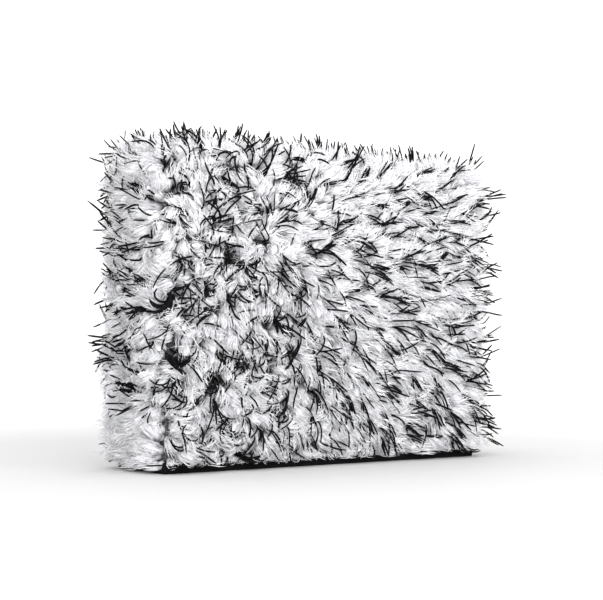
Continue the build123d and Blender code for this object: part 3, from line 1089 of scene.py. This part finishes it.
def make_elastic():
    """The braided elastic in the hem: a flat band whose outer face has a groove between its cords."""
    size = (ELASTIC_HIGH[0] * 2, ELASTIC_HIGH[1] * 2)
    corner = HEM_CORNER - (HEM_HIGH[0] - ELASTIC_HIGH[0])
    low, high = ELASTIC_LOW[2], ELASTIC_HIGH[2]
    chamfer, bevel, wall = 0.3, 0.4, ELASTIC_WALL
    braid = np.linspace(low + bevel, high - bevel, ELASTIC_CORDS * 4 + 1)[1:-1]
    turns = (braid - low - bevel) / (high - low - 2 * bevel) * ELASTIC_CORDS
    section = [(chamfer, low), (0.0, low + bevel)]
    section += zip(0.12 * (1 - np.cos(turns * 2 * math.pi)), braid)
    section += [(0.0, high - bevel), (chamfer, high), (wall - chamfer, high), (wall, high - bevel)]
    section += [(wall, low + bevel), (wall - chamfer, low)]
    piece = ring_of("cuff_elastic_braid", loops_through(section, size, corner, COARSE), ELASTIC_BRAID)
    belongs(piece, "cuff_end", "cuff_elastic")


def stitch_row(name, size, corner, z, side, body, node):
    """Plump stitches along the straight sides of an oblong, on its outside (1) or inside (-1)."""
    middles, headings, aways = [], [], []
    for run, across, turn in ((size[0], size[1], 0.0), (size[1], size[0], math.pi / 2)):
        ahead = np.array([math.cos(turn), math.sin(turn), 0.0])
        aside = np.array([-math.sin(turn), math.cos(turn), 0.0])
        count = int((run - 2 * corner) // STITCH_PITCH)
        for step in range(count):
            for face in (-1, 1):
                along = (step - (count - 1) / 2) * STITCH_PITCH
                out = face * (across / 2 + side * 0.15)
                middles.append(along * ahead + out * aside + np.array([0.0, 0.0, z]))
                headings.append(ahead)
                aways.append(face * side * aside)
    middles, headings, aways = (np.array(v)[:, None] for v in (middles, headings, aways))
    t = np.linspace(-1, 1, 8)
    rise = 0.25 * (1 - t**2) - 0.15
    line = middles + headings * (t * STITCH_LENGTH / 2)[:, None] + aways * rise[:, None]
    radius = np.broadcast_to(STITCH_RADIUS * np.sqrt(np.clip(1.04 - t**2, 0, 1)), line.shape[:2])
    sides, ahead = np.broadcast_to(aways, line.shape), np.broadcast_to(headings, line.shape)
    skein = Skein()
    skein.add(tubes(line, sides, ahead, radius, 8), np.zeros(len(line)), 1.0)
    belongs(skein.make(name, SEWING_THREAD), body, node)


def make_stitches():
    """Rows of stitches that hold the rim band, close the cuff's base and close the hem."""
    inner_hem = (HEM_SIZE[0] - 2 * HEM_WALL, HEM_SIZE[1] - 2 * HEM_WALL)
    rim_z, cuff_z, hem_z = (PLATE_TOP + BAND_TOP) / 2, PLATE_TOP + 2, HEM_LOW[2] + 1.4
    stitch_row("rim_stitches", BAND_SIZE, BAND_CORNER, rim_z, 1, "mitt", "rim_stitching")
    stitch_row("cuff_stitches", MOUTH_SIZE, MOUTH_CORNER, cuff_z, -1, "mitt", "cuff_stitching")
    stitch_row("hem_stitches", inner_hem, HEM_CORNER - HEM_WALL, hem_z, -1, "cuff_end", "hem_stitching")


def make_seam_twists():
    """The thread in the two seams round the gusset: two plies, each wound about the other."""
    for name, _ in SIDES:
        low, high = box_mm(f"{name}_seam_thread")
        radius = (high[1] - low[1]) / 2
        inset = HALF_WIDTH - high[0] + radius
        arch = Arch(inset, TOP_CORNER - inset, low[2])
        s = np.arange(0, arch.run, 0.35)
        x, z, nx, nz = arch.place(s)
        centre = np.stack([x, np.full(len(s), (low[1] + high[1]) / 2), z], 1)
        away = np.stack([nx, 0 * s, nz], 1)
        ahead = np.stack([nz, 0 * s, -nx], 1)
        level = np.array([0.0, 1.0, 0.0])
        ply_radius = np.full((1, len(s)), 0.55 * radius)
        skein = Skein()
        for ply in (0, math.pi):
            turn = s / TWIST_PITCH * 2 * math.pi + ply
            line = centre + 0.45 * radius * (np.cos(turn)[:, None] * away + np.sin(turn)[:, None] * level)
            skein.add(tubes(line[None], away[None], ahead[None], ply_radius, 6), np.zeros(1), 1.0)
        piece = skein.make(f"{name}_seam_twist", SEWING_THREAD)
        belongs(piece, "mitt", f"{name}_seam_thread")


make_pile()
make_ground()
make_foam()
make_lining()
make_rim_band()
make_cuff_knit()
make_hem()
make_elastic()
make_stitches()
make_seam_twists()

# ---------------------------------------------------------------- floor, lights and camera, in metres

FLOOR_HALF = 6.0
CAMERA_PLACE = (-0.4776, -0.6615, 0.066)
CAMERA_AZIMUTH = math.radians(-35.7)
CAMERA_PITCH = math.radians(1.96)
CAMERA_LENS = 83.6


def make_stage():
    """A pale floor with painted shade round the mitt that fades to painted white away from it."""
    material, tree, shader = new_material("pale_floor")
    link = tree.links.new
    place = add_node(tree, "TexCoord")
    distance = add_node(tree, "VectorMath", {"operation": "LENGTH"})
    link(place.outputs["Object"], distance.inputs[0])
    # painted light: darker round the mitt, standing in for its soft shadow, and whiter far off, making up for
    # light that does not reach there
    fade = add_ramp(tree, (0.25, grey(0.57)), (1.0, grey(0.95)))
    link(distance.outputs["Value"], fade.inputs["Fac"])
    link(fade.outputs["Color"], shader.inputs["Base Color"])
    set_inputs(shader, Roughness=0.8)
    mesh = bpy.data.meshes.new("floor")
    corners = [(x * FLOOR_HALF, y * FLOOR_HALF, 0) for x, y in ((-1, -1), (1, -1), (1, 1), (-1, 1))]
    mesh.from_pydata(corners, [], [(0, 1, 2, 3)])
    mesh.materials.append(material)
    floor = bpy.data.objects.new("floor", mesh)
    bpy.context.scene.collection.objects.link(floor)


def area_light(name, place, target, size, power):
    data = bpy.data.lights.new(name, "AREA")
    data.shape = "DISK"
    data.size = size
    data.energy = power
    lamp = bpy.data.objects.new(name, data)
    lamp.location = place
    lamp.rotation_euler = (Vector(target) - Vector(place)).to_track_quat("-Z", "Y").to_euler()
    bpy.context.scene.collection.objects.link(lamp)


def make_lights():
    world = bpy.data.worlds.new("studio")
    world.use_nodes = True
    set_inputs(world.node_tree.nodes["Background"], Color=(1, 1, 1, 1), Strength=1.32)
    bpy.context.scene.world = world
    area_light("key", (0.3, -1.05, 0.6), (0, 0, 0.07), 0.6, 3.9)
    area_light("top", (0.0, 0.1, 1.1), (0, 0, 0.1), 0.7, 1.4)
    area_light("fill", (-0.5, -1.1, 0.4), (0, 0, 0.09), 0.9, 10.5)


def make_camera():
    data = bpy.data.cameras.new("camera")
    data.lens = CAMERA_LENS
    data.clip_start = 0.01
    camera = bpy.data.objects.new("camera", data)
    camera.location = CAMERA_PLACE
    camera.rotation_euler = (math.pi / 2 + CAMERA_PITCH, 0, CAMERA_AZIMUTH)
    bpy.context.scene.collection.objects.link(camera)
    bpy.context.scene.camera = camera


make_stage()
make_lights()
make_camera()
bpy.context.scene.view_settings.view_transform = "Standard"
